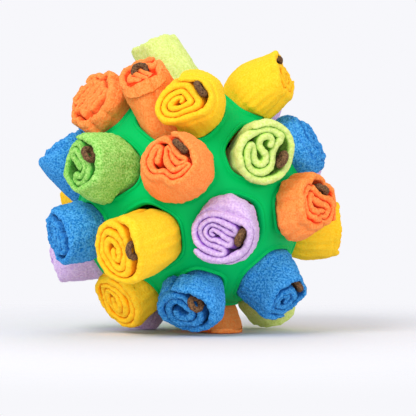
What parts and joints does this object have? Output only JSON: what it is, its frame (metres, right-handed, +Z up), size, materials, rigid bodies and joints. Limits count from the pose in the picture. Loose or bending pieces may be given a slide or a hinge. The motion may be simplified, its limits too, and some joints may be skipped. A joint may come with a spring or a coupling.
{
  "type": "dog snuffle ball",
  "caption": "Dog snuffle ball: hollow rubber lattice ball with rolled fleece strips stuffed in its holes and small ring treats tucked into their folds",
  "frame": {"origin": "middle of the footprint of the whole ball on the surface that it stands on", "axes": "+Z up, -Y the front that the picture shows, +X to the right of someone who looks at the front"},
  "size_m": [0.1718, 0.1816, 0.1704],
  "materials": {
    "rubber": "smooth satin moulded rubber",
    "orange": "soft brushed fleece",
    "yellow": "soft brushed fleece",
    "lime": "soft brushed fleece",
    "green": "soft brushed fleece",
    "blue": "soft brushed fleece",
    "lavender": "soft brushed fleece",
    "treat": "matt baked crumb"
  },
  "bodies": {
    "ball": {"rubber_ball": "rubber"},
    "roll_orange_front_body": {"roll_orange_front": "orange"},
    "treat_orange_front_body": {"treat_orange_front": "treat"},
    "roll_lavender_front_low_body": {"roll_lavender_front_low": "lavender"},
    "treat_lavender_front_low_body": {"treat_lavender_front_low": "treat"},
    "roll_yellow_front_left_body": {"roll_yellow_front_left": "yellow"},
    "treat_yellow_front_left_body": {"treat_yellow_front_left": "treat"},
    "roll_lime_front_right_body": {"roll_lime_front_right": "lime"},
    "treat_lime_front_right_body": {"treat_lime_front_right": "treat"},
    "roll_green_left_body": {"roll_green_left": "green"},
    "treat_green_left_body": {"treat_green_left": "treat"},
    "roll_yellow_crown_body": {"roll_yellow_crown": "yellow"},
    "treat_yellow_crown_body": {"treat_yellow_crown": "treat"},
    "roll_orange_crown_body": {"roll_orange_crown": "orange"},
    "treat_orange_crown_body": {"treat_orange_crown": "treat"},
    "roll_blue_under_front_body": {"roll_blue_under_front": "blue"},
    "treat_blue_under_front_body": {"treat_blue_under_front": "treat"},
    "roll_orange_right_body": {"roll_orange_right": "orange"},
    "treat_orange_right_body": {"treat_orange_right": "treat"},
    "roll_blue_left_body": {"roll_blue_left": "blue"},
    "roll_blue_right_low_body": {"roll_blue_right_low": "blue"},
    "treat_blue_right_low_body": {"treat_blue_right_low": "treat"},
    "roll_yellow_left_low_body": {"roll_yellow_left_low": "yellow"},
    "roll_yellow_right_top_body": {"roll_yellow_right_top": "yellow"},
    "treat_yellow_right_top_body": {"treat_yellow_right_top": "treat"},
    "roll_orange_left_top_body": {"roll_orange_left_top": "orange"},
    "roll_blue_right_high_body": {"roll_blue_right_high": "blue"},
    "roll_blue_left_high_body": {"roll_blue_left_high": "blue"},
    "roll_yellow_right_body": {"roll_yellow_right": "yellow"},
    "roll_lavender_left_low_body": {"roll_lavender_left_low": "lavender"},
    "roll_orange_bottom_body": {"roll_orange_bottom": "orange"},
    "roll_lime_top_body": {"roll_lime_top": "lime"},
    "roll_lavender_under_left_body": {"roll_lavender_under_left": "lavender"},
    "roll_lime_under_right_body": {"roll_lime_under_right": "lime"},
    "roll_lavender_right_back_body": {"roll_lavender_right_back": "lavender"},
    "roll_yellow_left_back_body": {"roll_yellow_left_back": "yellow"},
    "roll_lime_under_back_body": {"roll_lime_under_back": "lime"},
    "roll_green_back_left_body": {"roll_green_back_left": "green"},
    "roll_blue_back_left_top_body": {"roll_blue_back_left_top": "blue"},
    "roll_lavender_back_right_top_body": {"roll_lavender_back_right_top": "lavender"},
    "roll_orange_back_top_body": {"roll_orange_back_top": "orange"},
    "roll_orange_back_right_body": {"roll_orange_back_right": "orange"},
    "roll_yellow_back_right_body": {"roll_yellow_back_right": "yellow"},
    "roll_lime_back_left_body": {"roll_lime_back_left": "lime"},
    "roll_blue_back_body": {"roll_blue_back": "blue"}
  },
  "joints": [
    {"name": "pull_out_orange_front", "type": "slide", "parent": "ball", "child": "roll_orange_front_body", "axis": [-0.0409, -0.9804, 0.1928], "range_m": [0, 0.03]},
    {"name": "treat_out_orange_front", "type": "slide", "parent": "roll_orange_front_body", "child": "treat_orange_front_body", "axis": [-0.4013, -0.8726, 0.2784], "range_m": [0, 0.008]},
    {"name": "pull_out_lavender_front_low", "type": "slide", "parent": "ball", "child": "roll_lavender_front_low_body", "axis": [0.3674, -0.8943, -0.2553], "range_m": [0, 0.03]},
    {"name": "treat_out_lavender_front_low", "type": "slide", "parent": "roll_lavender_front_low_body", "child": "treat_lavender_front_low_body", "axis": [-0.2817, -0.9594, -0.0164], "range_m": [0, 0.008]},
    {"name": "pull_out_yellow_front_left", "type": "slide", "parent": "ball", "child": "roll_yellow_front_left_body", "axis": [-0.3421, -0.8795, -0.3307], "range_m": [0, 0.03]},
    {"name": "treat_out_yellow_front_left", "type": "slide", "parent": "roll_yellow_front_left_body", "child": "treat_yellow_front_left_body", "axis": [-0.6187, -0.7433, -0.2541], "range_m": [0, 0.008]},
    {"name": "pull_out_lime_front_right", "type": "slide", "parent": "ball", "child": "roll_lime_front_right_body", "axis": [0.5428, -0.7369, 0.403], "range_m": [0, 0.03]},
    {"name": "treat_out_lime_front_right", "type": "slide", "parent": "roll_lime_front_right_body", "child": "treat_lime_front_right_body", "axis": [0.3783, -0.9206, -0.0962], "range_m": [0, 0.008]},
    {"name": "pull_out_green_left", "type": "slide", "parent": "ball", "child": "roll_green_left_body", "axis": [-0.6453, -0.7121, 0.2767], "range_m": [0, 0.03]},
    {"name": "treat_out_green_left", "type": "slide", "parent": "roll_green_left_body", "child": "treat_green_left_body", "axis": [-0.7487, -0.6621, 0.0341], "range_m": [0, 0.008]},
    {"name": "pull_out_yellow_crown", "type": "slide", "parent": "ball", "child": "roll_yellow_crown_body", "axis": [-0.0949, -0.6314, 0.7696], "range_m": [0, 0.03]},
    {"name": "treat_out_yellow_crown", "type": "slide", "parent": "roll_yellow_crown_body", "child": "treat_yellow_crown_body", "axis": [-0.2805, -0.9542, 0.104], "range_m": [0, 0.008]},
    {"name": "pull_out_orange_crown", "type": "slide", "parent": "ball", "child": "roll_orange_crown_body", "axis": [-0.0949, -0.6314, 0.7696], "range_m": [0, 0.03]},
    {"name": "treat_out_orange_crown", "type": "slide", "parent": "roll_orange_crown_body", "child": "treat_orange_crown_body", "axis": [-0.3675, 0.1402, 0.9194], "range_m": [0, 0.008]},
    {"name": "pull_out_blue_under_front", "type": "slide", "parent": "ball", "child": "roll_blue_under_front_body", "axis": [0.0677, -0.6429, -0.7629], "range_m": [0, 0.03]},
    {"name": "treat_out_blue_under_front", "type": "slide", "parent": "roll_blue_under_front_body", "child": "treat_blue_under_front_body", "axis": [-0.3712, -0.6706, -0.6423], "range_m": [0, 0.008]},
    {"name": "pull_out_orange_right", "type": "slide", "parent": "ball", "child": "roll_orange_right_body", "axis": [0.8528, -0.5168, -0.075], "range_m": [0, 0.03]},
    {"name": "treat_out_orange_right", "type": "slide", "parent": "roll_orange_right_body", "child": "treat_orange_right_body", "axis": [0.7611, -0.6419, 0.0931], "range_m": [0, 0.008]},
    {"name": "pull_out_blue_left", "type": "slide", "parent": "ball", "child": "roll_blue_left_body", "axis": [-0.8386, -0.4815, -0.2548], "range_m": [0, 0.03]},
    {"name": "pull_out_blue_right_low", "type": "slide", "parent": "ball", "child": "roll_blue_right_low_body", "axis": [0.6435, -0.3793, -0.6649], "range_m": [0, 0.03]},
    {"name": "treat_out_blue_right_low", "type": "slide", "parent": "roll_blue_right_low_body", "child": "treat_blue_right_low_body", "axis": [0.6163, -0.5043, -0.6049], "range_m": [0, 0.008]},
    {"name": "pull_out_yellow_left_low", "type": "slide", "parent": "ball", "child": "roll_yellow_left_low_body", "axis": [-0.5045, -0.3553, -0.7869], "range_m": [0, 0.03]},
    {"name": "pull_out_yellow_right_top", "type": "slide", "parent": "ball", "child": "roll_yellow_right_top_body", "axis": [0.4586, -0.2518, 0.8522], "range_m": [0, 0.03]},
    {"name": "treat_out_yellow_right_top", "type": "slide", "parent": "roll_yellow_right_top_body", "child": "treat_yellow_right_top_body", "axis": [0.7916, -0.2525, 0.5564], "range_m": [0, 0.008]},
    {"name": "pull_out_orange_left_top", "type": "slide", "parent": "ball", "child": "roll_orange_left_top_body", "axis": [-0.6374, -0.2289, 0.7358], "range_m": [0, 0.03]},
    {"name": "pull_out_blue_right_high", "type": "slide", "parent": "ball", "child": "roll_blue_right_high_body", "axis": [0.8906, -0.1312, 0.4354], "range_m": [0, 0.03]},
    {"name": "pull_out_blue_left_high", "type": "slide", "parent": "ball", "child": "roll_blue_left_high_body", "axis": [-0.9669, -0.0924, 0.238], "range_m": [0, 0.03]},
    {"name": "pull_out_yellow_right", "type": "slide", "parent": "ball", "child": "roll_yellow_right_body", "axis": [0.9669, 0.0924, -0.238], "range_m": [0, 0.03]},
    {"name": "pull_out_lavender_left_low", "type": "slide", "parent": "ball", "child": "roll_lavender_left_low_body", "axis": [-0.8906, 0.1312, -0.4354], "range_m": [0, 0.03]},
    {"name": "pull_out_orange_bottom", "type": "slide", "parent": "ball", "child": "roll_orange_bottom_body", "axis": [0.1046, -0.0461, -0.9934], "range_m": [0, 0.03]},
    {"name": "pull_out_lime_top", "type": "slide", "parent": "ball", "child": "roll_lime_top_body", "axis": [-0.1037, 0.0777, 0.9916], "range_m": [0, 0.03]},
    {"name": "pull_out_lavender_under_left", "type": "slide", "parent": "ball", "child": "roll_lavender_under_left_body", "axis": [-0.4318, 0.2774, -0.8582], "range_m": [0, 0.03]},
    {"name": "pull_out_lime_under_right", "type": "slide", "parent": "ball", "child": "roll_lime_under_right_body", "axis": [0.6135, 0.2556, -0.7472], "range_m": [0, 0.03]},
    {"name": "pull_out_lavender_right_back", "type": "slide", "parent": "ball", "child": "roll_lavender_right_back_body", "axis": [0.8386, 0.4815, 0.2548], "range_m": [0, 0.03]},
    {"name": "pull_out_yellow_left_back", "type": "slide", "parent": "ball", "child": "roll_yellow_left_back_body", "axis": [-0.8528, 0.5168, 0.075], "range_m": [0, 0.03]},
    {"name": "pull_out_lime_under_back", "type": "slide", "parent": "ball", "child": "roll_lime_under_back_body", "axis": [0.0949, 0.6314, -0.7696], "range_m": [0, 0.03]},
    {"name": "pull_out_green_back_left", "type": "slide", "parent": "ball", "child": "roll_green_back_left_body", "axis": [-0.5201, 0.741, -0.4247], "range_m": [0, 0.03]},
    {"name": "pull_out_blue_back_left_top", "type": "slide", "parent": "ball", "child": "roll_blue_back_left_top_body", "axis": [-0.6435, 0.3793, 0.6649], "range_m": [0, 0.03]},
    {"name": "pull_out_lavender_back_right_top", "type": "slide", "parent": "ball", "child": "roll_lavender_back_right_top_body", "axis": [0.5045, 0.3553, 0.7869], "range_m": [0, 0.03]},
    {"name": "pull_out_orange_back_top", "type": "slide", "parent": "ball", "child": "roll_orange_back_top_body", "axis": [-0.0677, 0.6429, 0.7629], "range_m": [0, 0.03]},
    {"name": "pull_out_orange_back_right", "type": "slide", "parent": "ball", "child": "roll_orange_back_right_body", "axis": [0.6278, 0.7171, -0.3027], "range_m": [0, 0.03]},
    {"name": "pull_out_yellow_back_right", "type": "slide", "parent": "ball", "child": "roll_yellow_back_right_body", "axis": [0.3421, 0.8795, 0.3307], "range_m": [0, 0.03]},
    {"name": "pull_out_lime_back_left", "type": "slide", "parent": "ball", "child": "roll_lime_back_left_body", "axis": [-0.3674, 0.8943, 0.2553], "range_m": [0, 0.03]},
    {"name": "pull_out_blue_back", "type": "slide", "parent": "ball", "child": "roll_blue_back_body", "axis": [0.0446, 0.9723, -0.2293], "range_m": [0, 0.03]}
  ]
}
